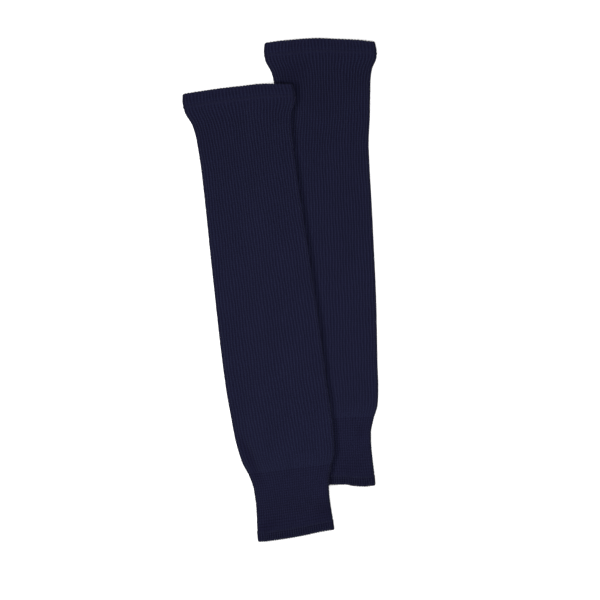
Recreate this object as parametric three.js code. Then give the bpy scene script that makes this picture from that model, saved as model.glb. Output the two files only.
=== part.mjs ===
// A pair of footless knitted ice-hockey socks lying flat, the left one partly on the right one.
// Millimetres: +Y runs towards the thigh ends, +X to the right, +Z up from the surface they lie on.
import * as THREE from "three";

// Driving dimensions of one sock. A station is the distance down the sock from its thigh edge.
const sockLength = 711;
const ply = 2.2; // one layer of ribbed knit
const gap = 0.3; // between neighbouring pieces
const bandDepth = 24; // turned hem at the thigh, fold to raw edge
const hemDepth = 17; // turned hem at the ankle
const cuffLength = 89; // narrow ribbed cuff above the ankle hem
const stitchWidth = 4; // band of cover stitch that holds the thigh hem
const hemStitchWidth = 2.5;
const threadDepth = 0.6; // how thick the bed of stitches is
const seamWidth = 7; // overlocked seam allowance standing inside the back fold
const seamThickness = 2.5;

// Half of the sock's flat width, and its height off the surface, each as [station, value].
const halfWidths = [
  [0, 86], [14, 89], [28, 88], [52, 79], [75, 75.8], [120, 74.5], [280, 77.7],
  [430, 80], [540, 78.5], [585, 74], [610, 65.5], [632, 59.8], [655, 58.7], [711, 61.3],
];
const heights = [[0, 18], [24, 18], [60, 14], [560, 14], [640, 12.5], [680, 12.5], [694, 15], [711, 15]];

// Where each sock lies: the middle of its thigh edge, its tilt from +Y, its relaxed length, how far
// its middle strays sideways, how much its thigh edge bows and slants, and the side its seam is on.
const right = {
  name: "right",
  x: 61.1,
  y: 394.7,
  tilt: THREE.MathUtils.degToRad(2.4),
  length: 703,
  sway: [[0, 0.5], [70, 2], [115, 1], [180, -4.5], [300, -6], [430, -7.5], [520, -8.5], [600, -5], [711, -2]],
  bow: 8,
  skew: 0,
  seamSide: 1,
};
const left = {
  name: "left",
  x: -65.9,
  y: 318.7,
  tilt: THREE.MathUtils.degToRad(7.3),
  length: 712,
  sway: [[0, -2.5], [60, -1], [460, -1], [520, 0.8], [560, 2], [605, 3.8], [632, 2.6], [670, 1.2], [711, 0]],
  bow: 5,
  skew: 2,
  seamSide: -1,
};

// The left sock lies on the right one, whose edge and ankle end are straight enough that the cloth
// climbs between two values of x, and comes down past the ankle end between two values of y.
const lift = { height: 15.6, climbFrom: -72, climbTo: -18, downFrom: -320, downTo: -365 };

// Mesh columns around a flattened tube: two straight layers joined by two round folds.
const straightColumns = 10;
const foldColumns = 6;
const columns = 2 * (straightColumns + foldColumns);
const hoop = 10; // radius of the round ring that is pressed flat

const cloth = { color: 0x1f2037, roughness: 0.95, metalness: 0 };
const thread = { color: 0x2a2c47, roughness: 0.8, metalness: 0 };

// A smooth curve through [station, value] points that never overshoots them, level at both ends.
function along(points, station) {
  const last = points.length - 1;
  if (station <= points[0][0]) return points[0][1];
  if (station >= points[last][0]) return points[last][1];
  const rise = (k) => (points[k + 1][1] - points[k][1]) / (points[k + 1][0] - points[k][0]);
  const slope = (k) => {
    if (k === 0 || k === last || rise(k - 1) * rise(k) <= 0) return 0;
    return (2 * rise(k - 1) * rise(k)) / (rise(k - 1) + rise(k));
  };
  const i = points.findIndex((point) => point[0] > station) - 1;
  const step = points[i + 1][0] - points[i][0];
  const t = (station - points[i][0]) / step;
  const t2 = t * t;
  const t3 = t2 * t;
  return (
    (2 * t3 - 3 * t2 + 1) * points[i][1] +
    (t3 - 2 * t2 + t) * step * slope(i) +
    (3 * t2 - 2 * t3) * points[i + 1][1] +
    (t3 - t2) * step * slope(i + 1)
  );
}

// The outline of a sock at a station: its middle, half width and half height.
function section(sock, station) {
  return {
    middle: along(sock.sway, station),
    half: along(halfWidths, station),
    rise: along(heights, station) / 2,
  };
}

// How far the cloth at x, y is lifted by the right sock lying under it.
function liftAt(x, y) {
  const { smoothstep } = THREE.MathUtils;
  return lift.height * smoothstep(x, lift.climbFrom, lift.climbTo) * smoothstep(y, lift.downTo, lift.downFrom);
}

// Places a point given across the sock, down it and above the surface.
function lay(sock, across, station, height) {
  const { middle, half } = section(sock, station);
  const share = across / half;
  const bowed = (sock.bow * share ** 2 + sock.skew * share) * (1 - THREE.MathUtils.smoothstep(station, 0, 70));
  const down = (station * sock.length) / sockLength + bowed;
  const aside = middle + across;
  const x = sock.x + aside * Math.cos(sock.tilt) + down * Math.sin(sock.tilt);
  const y = sock.y + aside * Math.sin(sock.tilt) - down * Math.cos(sock.tilt);
  return new THREE.Vector3(x, y, sock === left ? height + liftAt(x, y) : height);
}

// Where column i of a flattened ring lies, this deep under its outer face. Column 0 is the middle
// of the top layer and the columns run clockwise seen from the thigh end.
function columnPlace(i, half, rise, depth) {
  const flat = half - rise;
  const radius = rise - depth;
  const halfStraight = straightColumns / 2;
  const side = i <= columns / 2 ? 1 : -1;
  const k = side > 0 ? i : columns - i;
  if (k <= halfStraight) return [(side * flat * k) / halfStraight, 2 * rise - depth];
  if (k >= halfStraight + foldColumns) return [(side * flat * (columns / 2 - k)) / halfStraight, depth];
  const angle = ((k - halfStraight) / foldColumns) * Math.PI;
  return [side * (flat + radius * Math.sin(angle)), rise + radius * Math.cos(angle)];
}

// A closed tube of cloth: its wall's section, as [station, depth] points, is turned into a round
// ring, which is then pressed flat and laid in place.
function tube(sock, wall) {
  const profile = [...wall, wall[0]].map(([station, depth]) => new THREE.Vector2(hoop - depth, -station));
  const geometry = new THREE.LatheGeometry(profile, columns);
  const position = geometry.getAttribute("position");
  for (let n = 0; n < position.count; n++) {
    const column = Math.floor(n / profile.length) % columns;
    const [station, depth] = [...wall, wall[0]][n % profile.length];
    const { half, rise } = section(sock, station);
    const [across, height] = columnPlace(column, half, rise, depth);
    const placed = lay(sock, across, station, height);
    position.setXYZ(n, placed.x, placed.y, placed.z);
  }
  geometry.computeVertexNormals();
  return geometry;
}

// Stations evenly spaced from one to the other, both included.
function rows(from, to, count) {
  return Array.from({ length: count + 1 }, (_, i) => from + ((to - from) * i) / count);
}

// One layer of cloth between the first and last of these stations.
function layer(stations, outer, inner) {
  return [
    ...stations.toReversed().map((station) => [station, outer]),
    ...stations.map((station) => [station, inner]),
  ];
}

// The outer layer of a turned hem with its rolled fold, as [distance from the fold, depth]. A
// shallow groove holds the stitches.
function foldedLayer(depth, stitches) {
  const doubled = 2 * ply + gap;
  const foldRadius = doubled / 2;
  const groove = threadDepth + gap;
  const roll = [0.25, 0.5, 0.75].map((turn) => {
    const angle = turn * Math.PI;
    return [foldRadius - foldRadius * Math.sin(angle), foldRadius - foldRadius * Math.cos(angle)];
  });
  return [
    [depth, 0],
    [stitches.to + gap, 0],
    [stitches.to + gap, groove],
    [stitches.from - gap, groove],
    ...rows(stitches.from - gap, foldRadius, 2).map((distance) => [distance, 0]),
    ...roll,
    [foldRadius, doubled],
    [doubled - gap, doubled],
    ...rows(doubled - gap, depth, 4).map((distance) => [distance, ply]),
  ];
}

// The seam allowance: a flat strip standing inwards from the back fold, with a row per station.
function seamStrip(sock, stations) {
  const geometry = new THREE.BoxGeometry(seamWidth, 1, seamThickness, 1, stations.length - 1, 1);
  const position = geometry.getAttribute("position");
  const clearance = ply + 0.7; // the fold is faceted, so the strip keeps off its corner
  for (let n = 0; n < position.count; n++) {
    const station = stations[Math.round((0.5 - position.getY(n)) * (stations.length - 1))];
    const { half, rise } = section(sock, station);
    const across = sock.seamSide * (half - clearance - seamWidth / 2) + position.getX(n);
    const placed = lay(sock, across, station, rise + position.getZ(n));
    position.setXYZ(n, placed.x, placed.y, placed.z);
  }
  geometry.computeVertexNormals();
  return geometry;
}

function addPiece(group, name, geometry, finish) {
  const mesh = new THREE.Mesh(geometry, new THREE.MeshStandardMaterial(finish));
  mesh.name = name;
  group.add(mesh);
}

// Every piece of one sock, from the thigh edge down.
function makeSock(sock) {
  const group = new THREE.Group();
  const add = (piece, geometry, finish) => addPiece(group, `${sock.name}_${piece}`, geometry, finish);
  const hemStart = sockLength - hemDepth;
  const cuffStart = hemStart - cuffLength;

  // Thigh hem: outer layer rolled over at the edge, the turned layer inside it, and their stitches.
  const bandStitches = { from: bandDepth - gap * 2 - stitchWidth, to: bandDepth - gap * 2 };
  const turned = 2 * ply + gap; // the depth of a turned layer's inner face
  add("thigh_band", tube(sock, foldedLayer(bandDepth, bandStitches)), cloth);
  add("thigh_band_facing", tube(sock, layer(rows(turned, bandDepth - gap, 4), ply + gap, turned)), cloth);
  add("thigh_band_stitching", tube(sock, layer([bandStitches.from, bandStitches.to], 0, threadDepth)), thread);

  // Leg, with closer rows where its outline bends.
  const legRows = [
    ...rows(bandDepth + gap, 84, 5),
    ...rows(84, 540, 9).slice(1),
    ...rows(540, cuffStart - gap, 6).slice(1),
  ];
  add("leg_tube", tube(sock, layer(legRows, 0, ply)), cloth);

  // Ankle cuff and its hem, which is the thigh hem turned end for end.
  const cuffRows = rows(cuffStart, hemStart - gap, 7);
  const hemStitches = { from: hemDepth - gap * 2 - hemStitchWidth, to: hemDepth - gap * 2 };
  const fromAnkle = (distance) => sockLength - distance;
  const hemWall = foldedLayer(hemDepth, hemStitches).map(([distance, depth]) => [fromAnkle(distance), depth]);
  add("ankle_cuff", tube(sock, layer(cuffRows, 0, ply)), cloth);
  add("ankle_hem", tube(sock, hemWall.toReversed()), cloth);
  const facingRows = rows(hemStart + gap, fromAnkle(turned), 4);
  add("ankle_hem_facing", tube(sock, layer(facingRows, ply + gap, turned)), cloth);
  add(
    "ankle_hem_stitching",
    tube(sock, layer([fromAnkle(hemStitches.to), fromAnkle(hemStitches.from)], 0, threadDepth)),
    thread,
  );

  // Back seam, running inside the leg and the cuff between the two hems.
  add("back_seam", seamStrip(sock, [...legRows, ...cuffRows]), thread);
  return group;
}

const socks = new THREE.Group();
socks.add(makeSock(right), makeSock(left));

export default socks;
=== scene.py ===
import bmesh
import bpy
import math
import numpy as np
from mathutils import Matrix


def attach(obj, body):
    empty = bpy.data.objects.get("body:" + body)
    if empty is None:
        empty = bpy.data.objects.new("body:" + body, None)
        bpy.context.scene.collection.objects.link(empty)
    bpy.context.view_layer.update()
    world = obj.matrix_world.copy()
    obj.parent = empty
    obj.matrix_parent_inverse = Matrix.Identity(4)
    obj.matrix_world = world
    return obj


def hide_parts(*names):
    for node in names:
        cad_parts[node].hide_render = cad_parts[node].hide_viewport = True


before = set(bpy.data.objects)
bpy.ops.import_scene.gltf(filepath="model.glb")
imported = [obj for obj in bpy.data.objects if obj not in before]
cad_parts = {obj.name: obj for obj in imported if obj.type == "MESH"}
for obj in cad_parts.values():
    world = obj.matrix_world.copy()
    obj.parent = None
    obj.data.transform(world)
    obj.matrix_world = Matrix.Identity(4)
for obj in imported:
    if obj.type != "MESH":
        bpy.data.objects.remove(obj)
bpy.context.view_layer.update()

# Camera: straight above the socks, with a long lens so that their sides hardly show
cameraSetup = {
    "lens": 85.0,
    "sensor": 36.0,
    "fieldWidth": 0.9456,  # metres of table across the picture
    "focusHeight": 0.010,  # the height at which it is that wide
    "aside": 0.0307,  # middle of the picture from the middle of the pair
    "down": -0.0174,
}


def makeCamera(setup):
    data = bpy.data.cameras.new("lookDown")
    data.lens = setup["lens"]
    data.sensor_width = setup["sensor"]
    camera = bpy.data.objects.new("lookDown", data)
    distance = setup["fieldWidth"] * setup["lens"] / setup["sensor"]
    camera.location = (setup["aside"], setup["down"], setup["focusHeight"] + distance)
    bpy.context.collection.objects.link(camera)
    bpy.context.scene.camera = camera


makeCamera(cameraSetup)

# Shape of one sock, in metres. A station is the distance down it from the thigh edge.
sockShape = {
    "length": 0.711,
    "ply": 0.0022,  # one layer of knit
    "gap": 0.0003,  # between two layers that lie on each other
    "join": 0.00001,  # between two pieces that meet edge to edge
    "band": 0.024,  # turned thigh hem
    "hem": 0.017,  # turned ankle hem
    "cuff": 0.089,
    "ribs": 72,  # all the way round
    "course": 0.0035,  # one row of loops
    "cuffCourse": 0.003903,  # one row on the cuff, where they show more
    "foldTakes": 0.0092,  # cloth in a hem's fold, beyond its outer face
    # an end that strays down the sock takes the cloth from here with it
    "thighStray": 0.07,
    "ankleStray": (0.66, 0.705),
    # half of its width, and how high it lies: each with the station before it
    "halfWidths": [
        (0, 0.0873), (0.014, 0.089), (0.028, 0.088), (0.052, 0.079), (0.075, 0.0758),
        (0.120, 0.0745), (0.280, 0.0777), (0.430, 0.080), (0.540, 0.0785), (0.585, 0.074),
        (0.610, 0.0655), (0.632, 0.0598), (0.655, 0.0587), (0.711, 0.0613),
    ],
    "heights": [
        (0, 0.018), (0.024, 0.018), (0.060, 0.014), (0.560, 0.014), (0.640, 0.0125),
        (0.680, 0.0125), (0.694, 0.015), (0.711, 0.015),
    ],
}

rightSock = {
    "name": "right",
    "x": 0.0611,  # the middle of its thigh edge
    "y": 0.3947,
    "tilt": math.radians(2.4),
    "length": 0.703,
    # how far its middle line strays sideways, down the sock
    "sway": [
        (0, 0.0005), (0.070, 0.002), (0.115, 0.001), (0.180, -0.0045), (0.300, -0.006),
        (0.430, -0.0075), (0.520, -0.0085), (0.600, -0.005), (0.711, -0.002),
    ],
    # how far the two ends stray down the sock, from its left side (-1) to its right (1)
    "thighEdge": [
        (-1, 0.0032), (-0.7, 0.0010), (-0.1, -0.0010), (0.3, 0.0016), (0.7, 0.0048), (1, 0.0085),
    ],
    "ankleEdge": [(-1, 0.0015), (0.2, 0.0017), (0.45, 0.0048), (0.75, 0.0062), (1, 0.0048)],
    "crown": 0.0004,  # how far the middle of the upper layer stands up
    "seamSide": 1,  # the seam is in its right fold; -1 is the left one
    "phase": 1.7,  # of its slow waves
    # soft dents in the upper layer: across, station, half length, half width, turn, depth
    "dents": [
        (0.043, 0.630, 0.012, 0.007, 0.3, 0.0016),
        (-0.045, 0.056, 0.028, 0.018, 0.3, 0.0032),
    ],
}

leftSock = {
    "name": "left",
    "x": -0.0659,
    "y": 0.3187,
    "tilt": math.radians(7.3),
    "length": 0.712,
    "sway": [
        (0, -0.0025), (0.060, -0.001), (0.460, -0.001), (0.520, 0.0008), (0.560, 0.002),
        (0.605, 0.0038), (0.632, 0.0026), (0.670, 0.0012), (0.711, 0),
    ],
    "thighEdge": [
        (-1, 0.0002), (-0.7, -0.0006), (-0.3, -0.0012), (0.3, 0.0004), (0.7, 0.0046), (1, 0.0080),
    ],
    "ankleEdge": [
        (-1, 0.0035), (-0.8, 0.0049), (-0.3, 0.0046), (0.3, 0.0026), (0.6, 0.0008), (1, 0),
    ],
    "crown": 0.0010,
    "seamSide": -1,
    "phase": 0.4,
    "dents": [
        (-0.060, 0.580, 0.034, 0.0075, -0.28, 0.0050),
        (-0.042, 0.688, 0.016, 0.006, 1.25, 0.0034),
        (0.050, 0.682, 0.018, 0.014, 0.7, 0.0028),
    ],
}

# How the left sock climbs onto the right one across the pair, and comes down past its ankle end
overlap = {
    "lift": 0.0125,
    "pressedTo": 0.0120,  # how high the right sock's upper layer stays under the left one
    "waves": 0.0008,  # how far the waves in that layer may stand up
    "fromEdge": 0.022,  # how far from the left one's edge it rises again
    "climbFrom": -0.070,
    "climbTo": -0.016,
    "downFrom": -0.318,
    "downTo": -0.363,
}


# A smooth curve through the points, level at both ends, that never overshoots them
def curve(points, x):
    px, py = np.array(points, float).T
    step = np.diff(px)
    rise = np.diff(py) / step
    slope = np.zeros(len(px))
    bends = rise[:-1] * rise[1:] > 0
    slope[1:-1][bends] = 2 * (rise[:-1] * rise[1:])[bends] / (rise[:-1] + rise[1:])[bends]
    x = np.clip(x, px[0], px[-1])
    i = np.clip(np.searchsorted(px, x, side="right") - 1, 0, len(step) - 1)
    t = (x - px[i]) / step[i]
    return (
        (2 * t**3 - 3 * t**2 + 1) * py[i]
        + (t**3 - 2 * t**2 + t) * step[i] * slope[i]
        + (3 * t**2 - 2 * t**3) * py[i + 1]
        + (t**3 - t**2) * step[i] * slope[i + 1]
    )


def smoothStep(x, low, high):
    t = np.clip((x - low) / (high - low), 0, 1)
    return t * t * (3 - 2 * t)


def liftAt(x, y):
    climb = smoothStep(x, overlap["climbFrom"], overlap["climbTo"])
    return overlap["lift"] * climb * smoothStep(y, overlap["downTo"], overlap["downFrom"])


# How much the left sock's weight flattens the right one there
def pressedAt(x, y, station):
    dx, dy = x - leftSock["x"], y - leftSock["y"]
    aside = dx * math.cos(leftSock["tilt"]) + dy * math.sin(leftSock["tilt"])
    down = dx * math.sin(leftSock["tilt"]) - dy * math.cos(leftSock["tilt"])
    level = down * sockShape["length"] / leftSock["length"]
    across = aside - curve(leftSock["sway"], level)
    outside = np.clip(across - curve(sockShape["halfWidths"], level), 0, None)
    beyond = np.clip(-down, 0, None) + np.clip(down - leftSock["length"], 0, None)
    near = 1 - smoothStep(np.hypot(outside, beyond), 0, overlap["fromEdge"])
    top = curve(sockShape["heights"], station) + overlap["waves"]
    return near * (top - overlap["pressedTo"])


# Ribs don't run dead straight. Each wave: how far they stray in ribs, how many times round the
# sock, and how much it leans down the sock.
straying = [(0.11, 5, 55), (0.07, 11, -130), (0.05, 23, 310)]


def wander(turn, station):
    angle = 2 * math.pi * turn
    stray = 0
    for ribShare, times, lean in straying:
        stray = stray + ribShare * np.sin(times * angle + lean * station)
    return stray / sockShape["ribs"]


# A place on the section of the tube. turn is how far round it is, from 0 at the middle of the
# upper layer, through the right side and the lower layer, to 1. depth is how far it lies under
# the outer face.
def wall(turn, station, depth):
    half = curve(sockShape["halfWidths"], station)
    rise = curve(sockShape["heights"], station) / 2
    flat = half - rise
    fold = math.pi * rise
    turn = (turn + wander(turn, station) + 0.5) % 1.0 - 0.5
    way = np.abs(turn) * 2 * (2 * flat + fold)
    angle = np.clip((way - flat) / rise, 0, math.pi)
    overFlat = np.minimum(way, flat) - np.clip(way - flat - fold, 0, None)
    across = np.where(turn < 0, -1.0, 1.0) * (overFlat + (rise - depth) * np.sin(angle))
    height = rise + (rise - depth) * np.cos(angle)
    upper = (0.5 + 0.5 * np.cos(angle)) ** 2  # 1 on the upper layer, 0 underneath
    return across, height, upper


# The slack of the upper layer: a low crown, slow waves, a few soft dents and sagging mouths
softness = {
    "waves": 0.00026,
    "ripple": (52, 1.8, 8),  # its waves across, how far they swing, and how often down the sock
    # the other waves: height, waves across, waves down, start
    "shapes": [(0.8, 24, 31, 2.3), (0.5, -71, 67, 3.1)],
    "thighSag": 0.0030,
    "thighSagTo": 0.05,
    "ankleSag": 0.0008,
    "ankleSagFrom": 0.69,
}


def slack(sock, across, station):
    share = across / curve(sockShape["halfWidths"], station)
    rim = 1 - np.clip(np.abs(share), 0, 1) ** 4
    phase = sock["phase"]
    often, swing, slowly = softness["ripple"]
    waves = np.sin(often * across + swing * np.sin(slowly * station + phase) + phase)
    for tall, sideways, down, start in softness["shapes"]:
        waves = waves + tall * np.sin(down * station + sideways * across + start * phase)
    sag = softness["thighSag"] * (1 - smoothStep(station, 0, softness["thighSagTo"]))
    ankle = smoothStep(station, softness["ankleSagFrom"], sockShape["length"])
    sag = sag + softness["ankleSag"] * ankle
    return rim * (sock["crown"] + softness["waves"] * waves - sag) - dented(sock, across, station)


# How far the soft dents go down
def dented(sock, across, station):
    total = 0
    for midAcross, midStation, halfLong, halfWide, bearing, deep in sock["dents"]:
        a, b = across - midAcross, station - midStation
        along = b * math.cos(bearing) - a * math.sin(bearing)
        aside = a * math.cos(bearing) + b * math.sin(bearing)
        total = total + deep * np.exp(-((along / halfLong) ** 2) - (aside / halfWide) ** 2)
    return total


# From a place in the sock to a place in the frame. upper is 1 on the upper layer, 0 underneath.
def place(sock, across, station, height, upper):
    height = height + upper * slack(sock, across, station)
    height = height + (1 - upper) * curve(ribbing["liftedUnder"], station)
    share = across / curve(sockShape["halfWidths"], station)
    down = station * sock["length"] / sockShape["length"]
    thighEnd = 1 - smoothStep(station, 0, sockShape["thighStray"])
    ankleEnd = smoothStep(station, *sockShape["ankleStray"])
    down = down + curve(sock["thighEdge"], share) * thighEnd
    down = down + curve(sock["ankleEdge"], share) * ankleEnd
    aside = curve(sock["sway"], station) + across
    x = sock["x"] + aside * math.cos(sock["tilt"]) + down * math.sin(sock["tilt"])
    y = sock["y"] + aside * math.sin(sock["tilt"]) - down * math.cos(sock["tilt"])
    if sock is leftSock:
        height = height + liftAt(x, y)
    else:
        height = height - upper * pressedAt(x, y, station)
    return np.stack(np.broadcast_arrays(x, y, height), axis=-1)


def lay(sock, turn, station, depth):
    across, height, upper = wall(turn, station, depth)
    return place(sock, across, station, height, upper)


# How deep the valleys between ribs are, down the sock. The hem stitches flatten them.
ribbing = {
    "depths": [
        (0, 0.0008), (0.012, 0.0011), (0.0180, 0.0006), (0.0200, 0.0003), (0.0234, 0.0003),
        (0.0262, 0.0012), (0.060, 0.0016), (0.110, 0.0014), (0.300, 0.0012), (0.480, 0.0011),
        (0.580, 0.0009), (0.600, 0.0007), (0.640, 0.0006), (0.690, 0.0007), (0.6950, 0.0005),
        (0.6975, 0.0012), (0.702, 0.0019), (0.711, 0.0015),
    ],
    "sharpness": 2.2,  # the higher, the narrower the valleys
    "deepest": 0.0013,  # the depth that counts as fully hollow
    # grooves and ridges that run all the way round
    "rounds": [
        (0.0165, 0), (0.0180, 0.0004), (0.0192, 0), (0.0214, -0.0002), (0.0234, 0),
        (0.0242, 0.0003), (0.0256, 0), (0.6020, 0), (0.6050, 0.0002), (0.6080, 0),
        (0.6925, 0), (0.6940, 0.0004), (0.6955, 0),
    ],
    "cuffLoops": 0.00050,  # relief of each row of loops on the cuff
    # how hollow a place counts besides its relief, where less light reaches it: down the sock,
    # then on the cuff, between its rows, inside, and at the folds, sides and dents
    "shades": [
        (0, 0.13), (0.0170, 0.13), (0.0192, 0.30), (0.0240, 0.30), (0.0256, 0),
        (0.6932, 0), (0.6945, 0.15), (0.711, 0.15),
    ],
    "cuffShade": 0.12,
    "rowShade": 0.25,
    "innerShade": 0.3,
    "rollShade": 0.9,
    "sideShade": 0.6,
    "dentShade": 90,  # for each metre of a dent's depth
    # the lower layer is held up by the stitches under it
    "liftedUnder": [
        (0.014, 0), (0.0185, 0.0006), (0.0250, 0.0006), (0.030, 0),
        (0.688, 0), (0.6935, 0.0006), (0.6980, 0.0006), (0.703, 0),
    ],
}


# Relief is how far the outer face falls below its ridges. Each function gives it, and how hollow
# that place is from 0 on a ridge to 1 at the bottom of the deepest valley, plus painted shade where
# less light reaches it.
def ribs(turn, station):
    valley = np.abs(np.sin(math.pi * turn * sockShape["ribs"])) ** ribbing["sharpness"]
    relief = curve(ribbing["depths"], station) * valley
    hollowShade = relief / ribbing["deepest"] + curve(ribbing["shades"], station)
    return relief + curve(ribbing["rounds"], station), hollowShade


def cuffRibs(turn, station):
    relief, hollowShade = ribs(turn, station)
    loops = 0.5 - 0.5 * np.cos(2 * math.pi * (station / sockShape["cuffCourse"]))
    relief = relief + ribbing["cuffLoops"] * loops * (1 - hollowShade)
    return relief, hollowShade + ribbing["cuffShade"] + ribbing["rowShade"] * loops


# The same face where less light reaches it
def shaded(face, extra):
    def shadedFace(turn, station):
        relief, hollowShade = face(turn, station)
        return relief, hollowShade + extra

    return shadedFace


# An inner face, which has no relief, with painted shade for the dim inside
def plain(turn, station):
    return np.zeros_like(turn), np.full_like(turn, ribbing["innerShade"])


# One row of points round the sock. lean turns the relief from straight in (0) towards the
# other end of the sock (a quarter turn) and straight out (a half turn). inwards is 1 where
# that end has the higher stations, and -1 where it has the lower ones.
def row(columns, station, depth, face, lean=0.0, inwards=1):
    return {
        "columns": columns, "station": station, "depth": depth, "face": face, "lean": lean,
        "inwards": inwards,
    }


# Points in a row
fine = 8 * sockShape["ribs"]
middling = 4 * sockShape["ribs"]
coarse = 2 * sockShape["ribs"]


def rows(first, last, step, depth, face, columns=fine, lean=0.0):
    count = max(1, round(abs(last - first) / step))
    stations = np.linspace(first, last, count + 1)
    return [row(columns, station, depth, face, lean) for station in stations]


hiddenShare = 0.2  # of the map's room that a hidden face gets


# A closed tube of cloth. The rows run round the section of its wall: the outer face from the
# ankle towards the thigh, then the inner face back again. course is the length of a row of loops.
def makeTube(name, sock, section, course):
    points, hollowShades, starts, far = [], [], [], [0.0]
    for line in section:
        turn = np.arange(line["columns"]) / line["columns"]
        relief, hollowShade = line["face"](turn, np.full_like(turn, line["station"]))
        station = line["station"] + relief * math.sin(line["lean"]) * line["inwards"]
        starts.append(sum(map(len, points)))
        across, height, upper = wall(turn, station, line["depth"] + relief * math.cos(line["lean"]))
        points.append(place(sock, across, station, height, upper))
        # painted shade: darker in the dents, and on the sides and underside, which turn away from
        # the light
        hollowShade = hollowShade + ribbing["dentShade"] * upper * dented(sock, across, station)
        hollowShades.append(hollowShade + ribbing["sideShade"] * (1 - upper))
    # how far round the section each row is, for the map that unrolls the tube
    for line, after in zip(section, section[1:] + section[:1]):
        step = math.hypot(after["station"] - line["station"], after["depth"] - line["depth"])
        shown = line["columns"] == fine or after["columns"] == fine
        far.append(far[-1] + step * (1.0 if shown else hiddenShare))
    far = np.array(far) / far[-1]
    parts = []
    for j, line in enumerate(section):
        k = (j + 1) % len(section)
        n, m = line["columns"], section[k]["columns"]
        edges = [
            (starts[j], n, far[j], line["station"] / course),
            (starts[k], m, far[j + 1], section[k]["station"] / course),
        ]
        parts += bridge(*edges) if n == m else fans(*edges)
    piece = buildMesh(name, np.concatenate(points), parts)
    attribute = piece.data.attributes.new("hollowShade", "FLOAT", "POINT")
    attribute.data.foreach_set("value", np.concatenate(hollowShades).astype(np.float32))
    return piece


# Faces between two rows: each is (corner numbers, u, v, rows of loops down the sock)
def bridge(lower, upper):
    (start, n, v0, s0), (nextStart, _, v1, s1) = lower, upper
    i = np.arange(n)
    after = (i + 1) % n
    quad = np.stack([start + i, start + after, nextStart + after, nextStart + i], 1)
    u = np.stack([i, i + 1, i + 1, i], 1) / n
    return [(quad, u, np.array([v0, v0, v1, v1]), np.array([s0, s0, s1, s1]))]


# Rows of different counts meet in fans round the coarse row's points
def fans(lower, upper):
    swap = lower[1] < upper[1]
    big, small = (upper, lower) if swap else (lower, upper)
    most, least = big[1], small[1]
    ratio = most // least
    i = np.arange(most)
    post = (i + ratio // 2) // ratio
    p = np.arange(least)
    edge = p * ratio + ratio - ratio // 2
    made = []
    for ends, tip, (wide, narrow) in (
        ((i, i + 1), post, (big, small)),
        ((p + 1, p), edge, (small, big)),
    ):
        ends = ends[::-1] if swap else ends
        corner = [wide[0] + e % wide[1] for e in ends] + [narrow[0] + tip % narrow[1]]
        u = [e / wide[1] for e in ends] + [tip / narrow[1]]
        v = np.array([wide[2], wide[2], narrow[2]])
        s = np.array([wide[3], wide[3], narrow[3]])
        made.append((np.stack(corner, 1), np.stack(u, 1), v, s))
    return made


def buildMesh(name, points, parts):
    mesh = bpy.data.meshes.new(name)
    corners = np.concatenate([faces.ravel() for faces, _, _, _ in parts])
    sizes = np.concatenate([np.full(len(faces), faces.shape[1]) for faces, _, _, _ in parts])
    mesh.vertices.add(len(points))
    mesh.vertices.foreach_set("co", points.astype(np.float32).ravel())
    mesh.loops.add(len(corners))
    mesh.loops.foreach_set("vertex_index", corners.astype(np.int32))
    mesh.polygons.add(len(sizes))
    mesh.polygons.foreach_set("loop_start", (np.cumsum(sizes) - sizes).astype(np.int32))
    mesh.polygons.foreach_set("use_smooth", np.ones(len(sizes), bool))
    unrolled, knit = [], []
    for _, u, v, loops in parts:
        v, loops = np.broadcast_to(v, u.shape), np.broadcast_to(loops, u.shape)
        unrolled.append(np.stack([u, v], -1).reshape(-1, 2))
        knit.append(np.stack([u * sockShape["ribs"], loops], -1).reshape(-1, 2))
    for layerName, values in (("OFBake", unrolled), ("Knit", knit)):
        layer = mesh.uv_layers.new(name=layerName)
        layer.uv.foreach_set("vector", np.concatenate(values).astype(np.float32).ravel())
    return finishMesh(name, mesh)


sharpFrom = math.radians(62)  # edges that bend more than this stay sharp


def finishMesh(name, mesh):
    mesh.update()
    mesh.validate()
    mesh.set_sharp_from_angle(angle=sharpFrom)
    piece = bpy.data.objects.new(name, mesh)
    bpy.context.collection.objects.link(piece)
    return piece


strandTips = (0.45, 0.35)  # how thick an end is, and how much thicker each point from it


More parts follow.
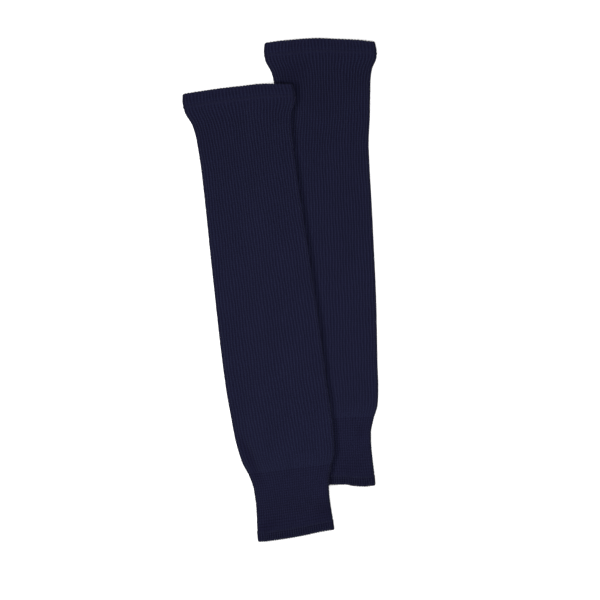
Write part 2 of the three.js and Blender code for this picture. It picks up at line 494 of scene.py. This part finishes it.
# Strands: many runs of points, each a closed length of thread or tape that thins at its ends.
# ups says which way is outwards at each point. size is half of its width and half of its height.
def makeStrands(name, points, ups, size, sides=6, squareness=1.0):
    runs, count, _ = points.shape
    forward = np.gradient(points, axis=1)
    forward /= np.linalg.norm(forward, axis=-1, keepdims=True)
    aside = np.cross(forward, ups)
    aside /= np.linalg.norm(aside, axis=-1, keepdims=True)
    outward = np.cross(aside, forward)
    toEnd = np.minimum(np.arange(count), np.arange(count)[::-1])
    thin = np.clip(strandTips[0] + strandTips[1] * toEnd, 0, 1)[None, :, None, None]
    angle = np.arange(sides) / sides * 2 * math.pi
    wide = np.sign(np.cos(angle)) * np.abs(np.cos(angle)) ** squareness * size[0]
    high = np.sign(np.sin(angle)) * np.abs(np.sin(angle)) ** squareness * size[1]
    ring = points[:, :, None] + thin * (
        wide[:, None] * aside[:, :, None] + high[:, None] * outward[:, :, None]
    )
    everything = np.concatenate([ring.reshape(runs, -1, 3), points[:, :1], points[:, -1:]], 1)
    first = (np.arange(runs) * (count * sides + 2))[:, None, None]
    j, k = np.arange(count - 1)[None, :, None], np.arange(sides)[None, None, :]
    after = (k + 1) % sides
    here, beside = first + j * sides + k, first + j * sides + after
    quads = np.stack([here, here + sides, beside + sides, beside], -1).reshape(-1, 4)
    last = first + (count - 1) * sides
    tip = first + count * sides + 0 * k  # once for each side
    caps = np.concatenate([
        np.stack([tip, first + k, first + after], -1).reshape(-1, 3),
        np.stack([tip + 1, last + after, last + k], -1).reshape(-1, 3),
    ])
    mesh = bpy.data.meshes.new(name)
    faces = quads.tolist() + caps.tolist()
    mesh.from_pydata(everything.reshape(-1, 3), [], faces, shade_flat=False)
    # the strand's own map: u along it in millimetres, v once round it
    length = np.cumsum(np.linalg.norm(np.diff(points, axis=1), axis=-1), axis=1) * 1000
    length = np.concatenate([np.zeros((runs, 1)), length], 1)
    u0 = np.broadcast_to(length[:, :-1, None], (runs, count - 1, sides))
    u1 = np.broadcast_to(length[:, 1:, None], (runs, count - 1, sides))
    v0 = np.broadcast_to(k / sides, u0.shape)
    v1 = v0 + 1 / sides
    twist = np.stack([u0, v0, u1, v0, u1, v1, u0, v1], -1).reshape(-1, 2)
    layer = mesh.uv_layers.new(name="Twist")
    both = np.concatenate([twist, np.zeros((len(caps) * 3, 2))])
    layer.uv.foreach_set("vector", both.astype(np.float32).ravel())
    return finishMesh(name, mesh)


# Cover stitch over a turned hem: two rows of one stitch a rib, with a thread crossing between
coverStitch = {
    "thick": 0.00026,  # half of the thread's width
    "reach": 0.42,  # half of a stitch's length, in ribs
    "proud": 0.00018,  # how far its middle stands out of the cloth
    "dive": 0.0010,  # how deep the ends of a stitch go
    "crossing": 0.00002,  # how deep the crossing thread's middle lies
    "thighRows": (0.0201, 0.0229),  # from the thigh edge
    "ankleRows": (0.0011, 0.0029),  # from the top of the ankle hem
    "dipsFrom": 0.6,  # of the way to a stitch's ends
}
nudge = 0.0005  # a short step, to find which way is out


def coverStitches(name, sock, firstRow, secondRow):
    along = np.linspace(-1, 1, 9)
    middle = np.arange(sockShape["ribs"])[:, None]
    dip = np.clip(np.abs(along) - coverStitch["dipsFrom"], 0, None)
    dive = coverStitch["dive"] * dip - coverStitch["proud"]
    sew = middle + coverStitch["reach"] * along
    halfway, swing = (firstRow + secondRow) / 2, (secondRow - firstRow) / 2
    swing = swing * np.sin(math.pi / 2 * along)
    cross = middle + 0.25 * along  # each crossing takes half a rib
    runs = [
        (sew, firstRow, dive),
        (sew + 0.5, secondRow, dive),
        (cross + 0.25, halfway + swing, coverStitch["crossing"]),
        (cross + 0.75, halfway - swing, coverStitch["crossing"]),
    ]
    turn, station, depth = (
        np.concatenate([np.broadcast_to(run[n], sew.shape) for run in runs]) for n in range(3)
    )
    turn = turn / sockShape["ribs"]
    depth = depth + curve(ribbing["rounds"], station)
    points = lay(sock, turn, station, depth)
    ups = lay(sock, turn, station, depth - nudge) - points
    return makeStrands(name, points, ups, (coverStitch["thick"], coverStitch["thick"]))


# The back seam: its allowance stands inwards from the fold, bound by an overlocking thread
backSeam = {
    "wide": 0.0031,  # half of the allowance
    "thick": 0.0009,
    "fromWall": 0.0007,
    "loop": 0.0032,  # one turn of the binding thread
    "thread": 0.00024,
    "loopPoints": 12,
    "short": 0.001,  # how far from each end of the allowance it stops
    "step": 0.004,
    "shareOfSlack": 0.25,  # of the upper layer's waves, which it follows
}


def makeSeam(name, sock, start, end):
    def path(station, aside, up):
        half = curve(sockShape["halfWidths"], station)
        rise = curve(sockShape["heights"], station) / 2
        inset = sockShape["ply"] + backSeam["fromWall"] + backSeam["wide"] + backSeam["thread"]
        across = sock["seamSide"] * (half - inset) + aside
        return place(sock, across, station, rise + up, backSeam["shareOfSlack"])[None]

    station = np.linspace(start, end, round((end - start) / backSeam["step"]))
    middle = path(station, 0, 0)
    allowance = makeStrands(
        name, middle, path(station, 0, 2 * nudge) - middle,
        (backSeam["wide"], backSeam["thick"]), sides=16, squareness=0.6,
    )
    loops = round((end - start) / backSeam["loop"])
    angle = np.linspace(0, loops * 2 * math.pi, loops * backSeam["loopPoints"])
    station = np.linspace(start + backSeam["short"], end - backSeam["short"], len(angle))
    aside, up = np.cos(angle), np.sin(angle)
    bind = path(
        station, aside * backSeam["wide"], up * (backSeam["thick"] + backSeam["thread"] / 2),
    )
    outwards = path(station, aside * backSeam["step"], up * backSeam["step"])
    outwards = outwards - path(station, 0, 0)
    binding = makeStrands(name, bind, outwards, (backSeam["thread"], backSeam["thread"]))
    return joinPieces(allowance, binding)


def joinPieces(piece, other):
    both = bmesh.new()
    both.from_mesh(piece.data)
    both.from_mesh(other.data)
    both.to_mesh(piece.data)
    both.free()
    bpy.data.objects.remove(other)
    return piece


# Distance between two rows of points down the sock, in metres
spacing = {
    "leg": 0.005,
    "legFrom": 0.006,  # how far below the thigh band the leg's wide spacing starts
    "topFrom": 0.005,  # and its close spacing, where the relief changes fast
    "legTop": 0.0008,
    "cuff": 0.00078,
    "hem": 0.0009,
    "rollRows": 8,  # the rows over a hem's fold
    "facing": 0.002,
    "innerLeg": 0.012,
    "innerCuff": 0.010,
    "innerFacing": 0.004,
}


# A turned hem's outer layer, from its fold at the station "edge" to the stitches. towards is 1
# where the sock's stations grow away from the fold, and -1 where they shrink.
def foldedWall(edge, towards, depth, face):
    ply, gap = sockShape["ply"], sockShape["gap"]
    doubled = 2 * ply + gap
    radius = doubled / 2
    count = round((depth - radius) / spacing["hem"]) + 1
    outer = [
        row(fine, edge + towards * far, 0, face) for far in np.linspace(depth, radius, count)
    ]
    roll = []
    for angle in np.linspace(0, math.pi, spacing["rollRows"] + 2)[1:-1]:
        station = edge + towards * radius * (1 - math.sin(angle))
        under = radius * (1 - math.cos(angle))
        turned = shaded(face, ribbing["rollShade"] * math.sin(angle))
        roll.append(row(fine, station, under, turned, angle, towards))
    inner = [
        row(coarse, edge + towards * far, deep, plain)
        for far, deep in (
            (radius, doubled), (doubled - gap, doubled), (doubled - gap, ply),
            (depth * 0.6, ply), (depth, ply),
        )
    ]
    return outer + roll + inner


# The layer turned inside a hem
def facingWall(first, last):
    ply, gap = sockShape["ply"], sockShape["gap"]
    hidden = rows(first, last, spacing["innerFacing"], ply + gap, plain, coarse)
    return hidden + rows(last, first, spacing["facing"], 2 * ply + gap, ribs, middling, math.pi)


def makeSock(sock):
    name, ply, gap, join = sock["name"], sockShape["ply"], sockShape["gap"], sockShape["join"]
    band, hem, length = sockShape["band"], sockShape["hem"], sockShape["length"]
    hemStart = length - hem
    cuffStart = hemStart - sockShape["cuff"]
    doubled = 2 * ply + gap
    course, cuffCourse = sockShape["course"], sockShape["cuffCourse"]

    thigh = makeTube(f"{name}_thigh_band_knit", sock, foldedWall(0, 1, band, ribs), course)
    facing = facingWall(band - gap, doubled)
    thighFacing = makeTube(f"{name}_thigh_facing_knit", sock, facing, course)
    thighThread = coverStitches(f"{name}_thigh_cover_stitch", sock, *coverStitch["thighRows"])

    legEnd = cuffStart - join
    leg = rows(legEnd, band + spacing["legFrom"], spacing["leg"], 0, ribs)
    leg += rows(band + spacing["topFrom"], band + join, spacing["legTop"], 0, ribs)
    leg += rows(band + join, legEnd, spacing["innerLeg"], ply, plain, coarse)
    leg = makeTube(f"{name}_leg_knit", sock, leg, course)

    cuffEnd = hemStart - join
    cuff = rows(cuffEnd, cuffStart, spacing["cuff"], 0, cuffRibs)
    cuff += rows(cuffStart, cuffEnd, spacing["innerCuff"], ply, plain, coarse)
    cuff = makeTube(f"{name}_ankle_cuff_knit", sock, cuff, cuffCourse)

    hemWall = foldedWall(length, -1, hem, ribs)[::-1]
    ankle = makeTube(f"{name}_ankle_hem_knit", sock, hemWall, course)
    facing = facingWall(length - doubled, hemStart + gap)
    ankleFacing = makeTube(f"{name}_ankle_facing_knit", sock, facing, course)
    ankleRows = [hemStart + down for down in coverStitch["ankleRows"]]
    ankleThread = coverStitches(f"{name}_ankle_cover_stitch", sock, *ankleRows)
    seam = makeSeam(f"{name}_back_seam_overlock", sock, band + gap, hemStart - gap)
    return {
        "thigh_band": thigh, "thigh_band_facing": thighFacing, "thigh_band_stitching": thighThread,
        "leg_tube": leg, "ankle_cuff": cuff, "ankle_hem": ankle, "ankle_hem_facing": ankleFacing,
        "ankle_hem_stitching": ankleThread, "back_seam": seam,
    }


# A shader node. Each value goes to its inputs in turn: a link, a number, or None to leave it.
def add(tree, kind, *values, **settings):
    made = tree.nodes.new("ShaderNode" + kind)
    for key, value in settings.items():
        setattr(made, key, value)
    for socket, value in zip(made.inputs, values):
        if isinstance(value, bpy.types.NodeSocket):
            tree.links.new(value, socket)
        elif value is not None:
            socket.default_value = value
    return made


def work(tree, operation, *values):
    return add(tree, "Math", *values, operation=operation).outputs[0]


def between(tree, value, low, high, start=0.0, end=1.0):
    made = add(tree, "MapRange", value, low, high, start, end, interpolation_type="SMOOTHSTEP")
    return made.outputs[0]


mixColours = (6, 7)  # a Mix node's two colour inputs
mixResult = 2


def blendColours(tree, share, first, second):
    made = add(tree, "Mix", share, data_type="RGBA")
    for number, value in zip(mixColours, (first, second)):
        made.inputs[number].default_value = (*value, 1.0)
    return made.outputs[mixResult]


def noise(tree, where, scale, detail=2.0):
    made = add(tree, "TexNoise", where, noise_dimensions="3D")
    made.inputs["Scale"].default_value = scale
    made.inputs["Detail"].default_value = detail
    return made.outputs[0]


def newMaterial(name, look):
    material = bpy.data.materials.new(name)
    material.use_nodes = True
    tree = material.node_tree
    shader = tree.nodes["Principled BSDF"]
    shader.inputs["Specular IOR Level"].default_value = look["shine"]
    shader.inputs["Sheen Weight"].default_value = look["sheen"]
    shader.inputs["Sheen Roughness"].default_value = look["sheenRoughness"]
    shader.inputs["Sheen Tint"].default_value = (*look["sheenTint"], 1.0)
    return material, tree, shader


def bumpInto(tree, shader, height):
    bump = add(tree, "Bump", None, 0.001)  # height is in millimetres
    tree.links.new(height, bump.inputs["Height"])
    tree.links.new(bump.outputs[0], shader.inputs["Normal"])


# Ribbed knit. Every rib is a column of loops, each a V that leans out from the rib's middle.
knitLook = {
    "ridge": (0.0126, 0.0141, 0.0378),
    # valley: the yarn's darker tint in the valleys, and painted shade there as well; all painted
    # shade blends towards it
    "valley": (0.0076, 0.0073, 0.0228),
    "ridgeFade": (0.10, 0.62),  # how much hollowness and painted shade it takes for the ridge colour to start to go, and to be gone
    "loopShade": 0.30,  # how much darker it is between loops
    "gapShade": 0.55,  # and at the gaps in the valleys
    "gapLoops": (0.55, 0.95),  # how near a loop's middle, and how hollow, the gaps start and end
    "gapHollow": (0.55, 0.95),
    "patches": 26.0,  # the scale of each noise
    "strands": 420.0,
    "fibres": 1100.0,
    "patchShade": 0.10,
    "fibreShade": 0.22,
    "lean": 1.2,  # of a loop's legs, in loops
    "loopRelief": 0.42,  # millimetres
    "fibreRelief": 0.16,
    "shine": 0.04,
    "sheen": 0.10,
    "sheenRoughness": 0.42,
    "sheenTint": (0.55, 0.62, 0.95),
    "roughness": (0.82, 0.98),
}


def makeKnit(name, look):
    material, tree, shader = newMaterial(name, look)
    apart = add(tree, "SeparateXYZ", add(tree, "UVMap", uv_map="Knit").outputs[0])
    across, down = apart.outputs[0], apart.outputs[1]
    hollowShade = add(tree, "Attribute", attribute_name="hollowShade").outputs["Fac"]
    ridge = between(tree, hollowShade, *look["ridgeFade"], 1.0, 0.0)
    within = work(tree, "FRACT", work(tree, "ADD", across, 0.5))
    fromMiddle = work(tree, "ABSOLUTE", work(tree, "SUBTRACT", within, 0.5))
    leaning = work(tree, "MULTIPLY_ADD", fromMiddle, look["lean"], down)
    wave = work(tree, "COSINE", work(tree, "MULTIPLY", leaning, 2 * math.pi))
    loops = work(tree, "MULTIPLY_ADD", wave, 0.5, 0.5)
    where = add(tree, "TexCoord").outputs["Object"]
    patches = noise(tree, where, look["patches"])
    fibres = noise(tree, where, look["fibres"], 3.0)
    strands = noise(tree, where, look["strands"])
    # shade: each step takes a share of the light away: painted shade between loops and at the gaps
    # in the valleys, then random tone from the noises
    dark = work(tree, "MULTIPLY", work(tree, "SUBTRACT", 1.0, loops), look["loopShade"])
    shade = work(tree, "SUBTRACT", 1.0, work(tree, "MULTIPLY", dark, ridge))
    gaps = between(tree, loops, *look["gapLoops"])
    gaps = work(tree, "MULTIPLY", gaps, between(tree, hollowShade, *look["gapHollow"]))
    shade = work(tree, "MULTIPLY", shade, work(tree, "MULTIPLY_ADD", gaps, -look["gapShade"], 1.0))
    patchy, fibrous = look["patchShade"], look["fibreShade"]
    for pattern, amount in ((patches, patchy), (fibres, fibrous), (strands, fibrous)):
        spread = work(tree, "MULTIPLY_ADD", pattern, 2 * amount, 1.0 - amount)
        shade = work(tree, "MULTIPLY", shade, spread)
    # painted shade: hollow and shaded places take on the valley colour
    colour = blendColours(tree, ridge, look["valley"], look["ridge"])
    dyed = add(tree, "VectorMath", colour, operation="SCALE")
    tree.links.new(shade, dyed.inputs["Scale"])
    tree.links.new(dyed.outputs[0], shader.inputs["Base Color"])
    low, high = look["roughness"]
    tree.links.new(work(tree, "MULTIPLY_ADD", strands, high - low, low), shader.inputs["Roughness"])
    height = work(tree, "MULTIPLY", work(tree, "MULTIPLY", loops, ridge), look["loopRelief"])
    height = work(tree, "MULTIPLY_ADD", fibres, look["fibreRelief"], height)
    height = work(tree, "MULTIPLY_ADD", strands, look["fibreRelief"], height)
    bumpInto(tree, shader, height)
    return material


# Sewing thread, with its twist
threadLook = {
    "light": (0.0112, 0.0122, 0.0322),
    "dark": (0.0070, 0.0072, 0.0200),
    "twist": 0.75,  # millimetres for one turn
    "twistRelief": 0.05,
    "twistShare": 0.7,  # of its lightness
    "fuzzShare": 0.4,
    "fuzz": 1500.0,  # the scale of its noise
    "shine": 0.08,
    "sheen": 0.03,
    "sheenRoughness": 0.4,
    "sheenTint": (0.6, 0.65, 0.95),
    "roughness": (0.55, 0.75),
}


def makeThread(name, look):
    material, tree, shader = newMaterial(name, look)
    apart = add(tree, "SeparateXYZ", add(tree, "UVMap", uv_map="Twist").outputs[0])
    turns = work(tree, "MULTIPLY_ADD", apart.outputs[0], 1 / look["twist"], apart.outputs[1])
    wave = work(tree, "COSINE", work(tree, "MULTIPLY", turns, 2 * math.pi))
    plies = work(tree, "MULTIPLY_ADD", wave, 0.5, 0.5)
    fuzz = noise(tree, add(tree, "TexCoord").outputs["Object"], look["fuzz"], 3.0)
    # painted shade: the thread's colour is darker in the grooves between its plies
    twisted = work(tree, "MULTIPLY", plies, look["twistShare"])
    share = work(tree, "MULTIPLY_ADD", fuzz, look["fuzzShare"], twisted)
    colour = blendColours(tree, share, look["dark"], look["light"])
    tree.links.new(colour, shader.inputs["Base Color"])
    low, high = look["roughness"]
    tree.links.new(work(tree, "MULTIPLY_ADD", fuzz, high - low, low), shader.inputs["Roughness"])
    bumpInto(tree, shader, work(tree, "MULTIPLY", plies, look["twistRelief"]))
    return material


knitMaterial = makeKnit("navyRibKnit", knitLook)
threadMaterial = makeThread("navyThread", threadLook)
print("materials made")


# How each piece was cut, laid flat: the girth of the sock there by its length
def flatSize(sock, start, end, turned=0.0):
    station = np.linspace(start, end, 20)
    half = curve(sockShape["halfWidths"], station)
    rise = curve(sockShape["heights"], station) / 2
    girth = np.mean(4 * (half - rise) + 2 * math.pi * rise)
    return float(girth), float((end - start) * sock["length"] / sockShape["length"] + turned)


def declare(sock, pieces):
    name, length, turned = sock["name"], sockShape["length"], sockShape["foldTakes"]
    band, hem, cuff = sockShape["band"], sockShape["hem"], sockShape["cuff"]
    doubled = 2 * sockShape["ply"] + sockShape["gap"]
    for node, piece in pieces.items():
        threads = node in ("thigh_band_stitching", "ankle_hem_stitching", "back_seam")
        piece.data.materials.append(threadMaterial if threads else knitMaterial)
        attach(piece, f"{name}_sock")
        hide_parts(f"{name}_{node}")
    under = ["floor"] if sock is rightSock else ["floor", "right_leg_knit"]
    cuts = (
        ("thigh_band", 0, band, turned, under, ["thigh_band_stitching"]),
        ("thigh_band_facing", doubled, band, 0, [pieces["thigh_band"].name], []),
        ("leg_tube", band, length - hem - cuff, 0, under, ["back_seam"]),
        ("ankle_cuff", length - hem - cuff, length - hem, 0, under, []),
        ("ankle_hem", length - hem, length, turned, under, ["ankle_hem_stitching"]),
        ("ankle_hem_facing", length - hem, length - doubled, 0, [pieces["ankle_hem"].name], []),
    )
    for node, start, end, extra, on, going in cuts:
        flatSize(sock, start, end, extra)


for sock in (rightSock, leftSock):
    declare(sock, makeSock(sock))
    print(sock["name"], "sock made")

# Studio: a pale floor and backdrop, two soft lights, and a room that is brightest above
studio = {
    "floor": 16.0,
    "below": 0.0003,  # how far the floor is under the socks
    "backdrop": 7.5,
    "backdropGlow": 1.0,
    "floorColour": (0.90, 0.90, 0.90),
    "floorGlow": 0.45,
    "brightest": (0.42, -0.10, 0.90),  # which way the room is brightest
    "fade": (0.0, 0.9),  # how nearly that way it starts to be brighter, and is brightest
    "overhead": 0.56,  # how bright it is there
    "level": 0.08,  # and round the floor
    # soft square lights: name, watts, size, place
    "lights": [
        ("softKey", 47.0, 0.85, (-1.70, -0.35, 2.50)),
        ("softPool", 7.6, 0.4, (0.03, -0.02, 1.15)),
    ],
}


def stagePiece(name, mesh, colour, glow):
    made = bpy.data.objects.new(name, mesh)
    bpy.context.collection.objects.link(made)
    made.visible_diffuse = False  # its brightness doesn't fill in the rounded sides
    made.visible_glossy = False
    material = bpy.data.materials.new(name)
    material.use_nodes = True
    shader = material.node_tree.nodes["Principled BSDF"]
    shader.inputs["Base Color"].default_value = (*colour, 1.0)
    shader.inputs["Roughness"].default_value = 0.9
    shader.inputs["Specular IOR Level"].default_value = 0.0
    shader.inputs["Emission Color"].default_value = (1.0, 1.0, 1.0, 1.0)
    shader.inputs["Emission Strength"].default_value = glow
    mesh.materials.append(material)
    return made


def makeStudio(setup):
    mesh = bpy.data.meshes.new("floor")
    half = setup["floor"] / 2
    square = ((-half, -half), (half, -half), (half, half), (-half, half))
    mesh.from_pydata([(x, y, -setup["below"]) for x, y in square], [], [(0, 1, 2, 3)])
    stagePiece("floor", mesh, setup["floorColour"], setup["floorGlow"])

    mesh = bpy.data.meshes.new("backdrop")
    dome = bmesh.new()
    bmesh.ops.create_uvsphere(dome, u_segments=48, v_segments=24, radius=setup["backdrop"])
    dome.to_mesh(mesh)
    dome.free()
    backdrop = stagePiece("backdrop", mesh, (0.0, 0.0, 0.0), setup["backdropGlow"])
    backdrop.visible_shadow = False

    world = bpy.data.worlds.new("paleRoom")
    world.use_nodes = True
    tree = world.node_tree
    tree.nodes["Background"].inputs["Color"].default_value = (1.0, 1.0, 1.0, 1.0)
    direction = add(tree, "TexCoord").outputs["Generated"]
    towards = add(tree, "VectorMath", direction, setup["brightest"], operation="DOT_PRODUCT")
    facing = towards.outputs["Value"]
    strength = between(tree, facing, *setup["fade"], setup["level"], setup["overhead"])
    tree.links.new(strength, tree.nodes["Background"].inputs["Strength"])
    bpy.context.scene.world = world

    for name, power, size, spot in setup["lights"]:
        data = bpy.data.lights.new(name, "AREA")
        data.energy = power
        data.size = size
        light = bpy.data.objects.new(name, data)
        light.location = spot
        light.rotation_euler = (-light.location).to_track_quat("-Z", "Y").to_euler()
        light.visible_camera = False
        bpy.context.collection.objects.link(light)


makeStudio(studio)
bpy.context.scene.view_settings.view_transform = "Standard"
print("studio made")
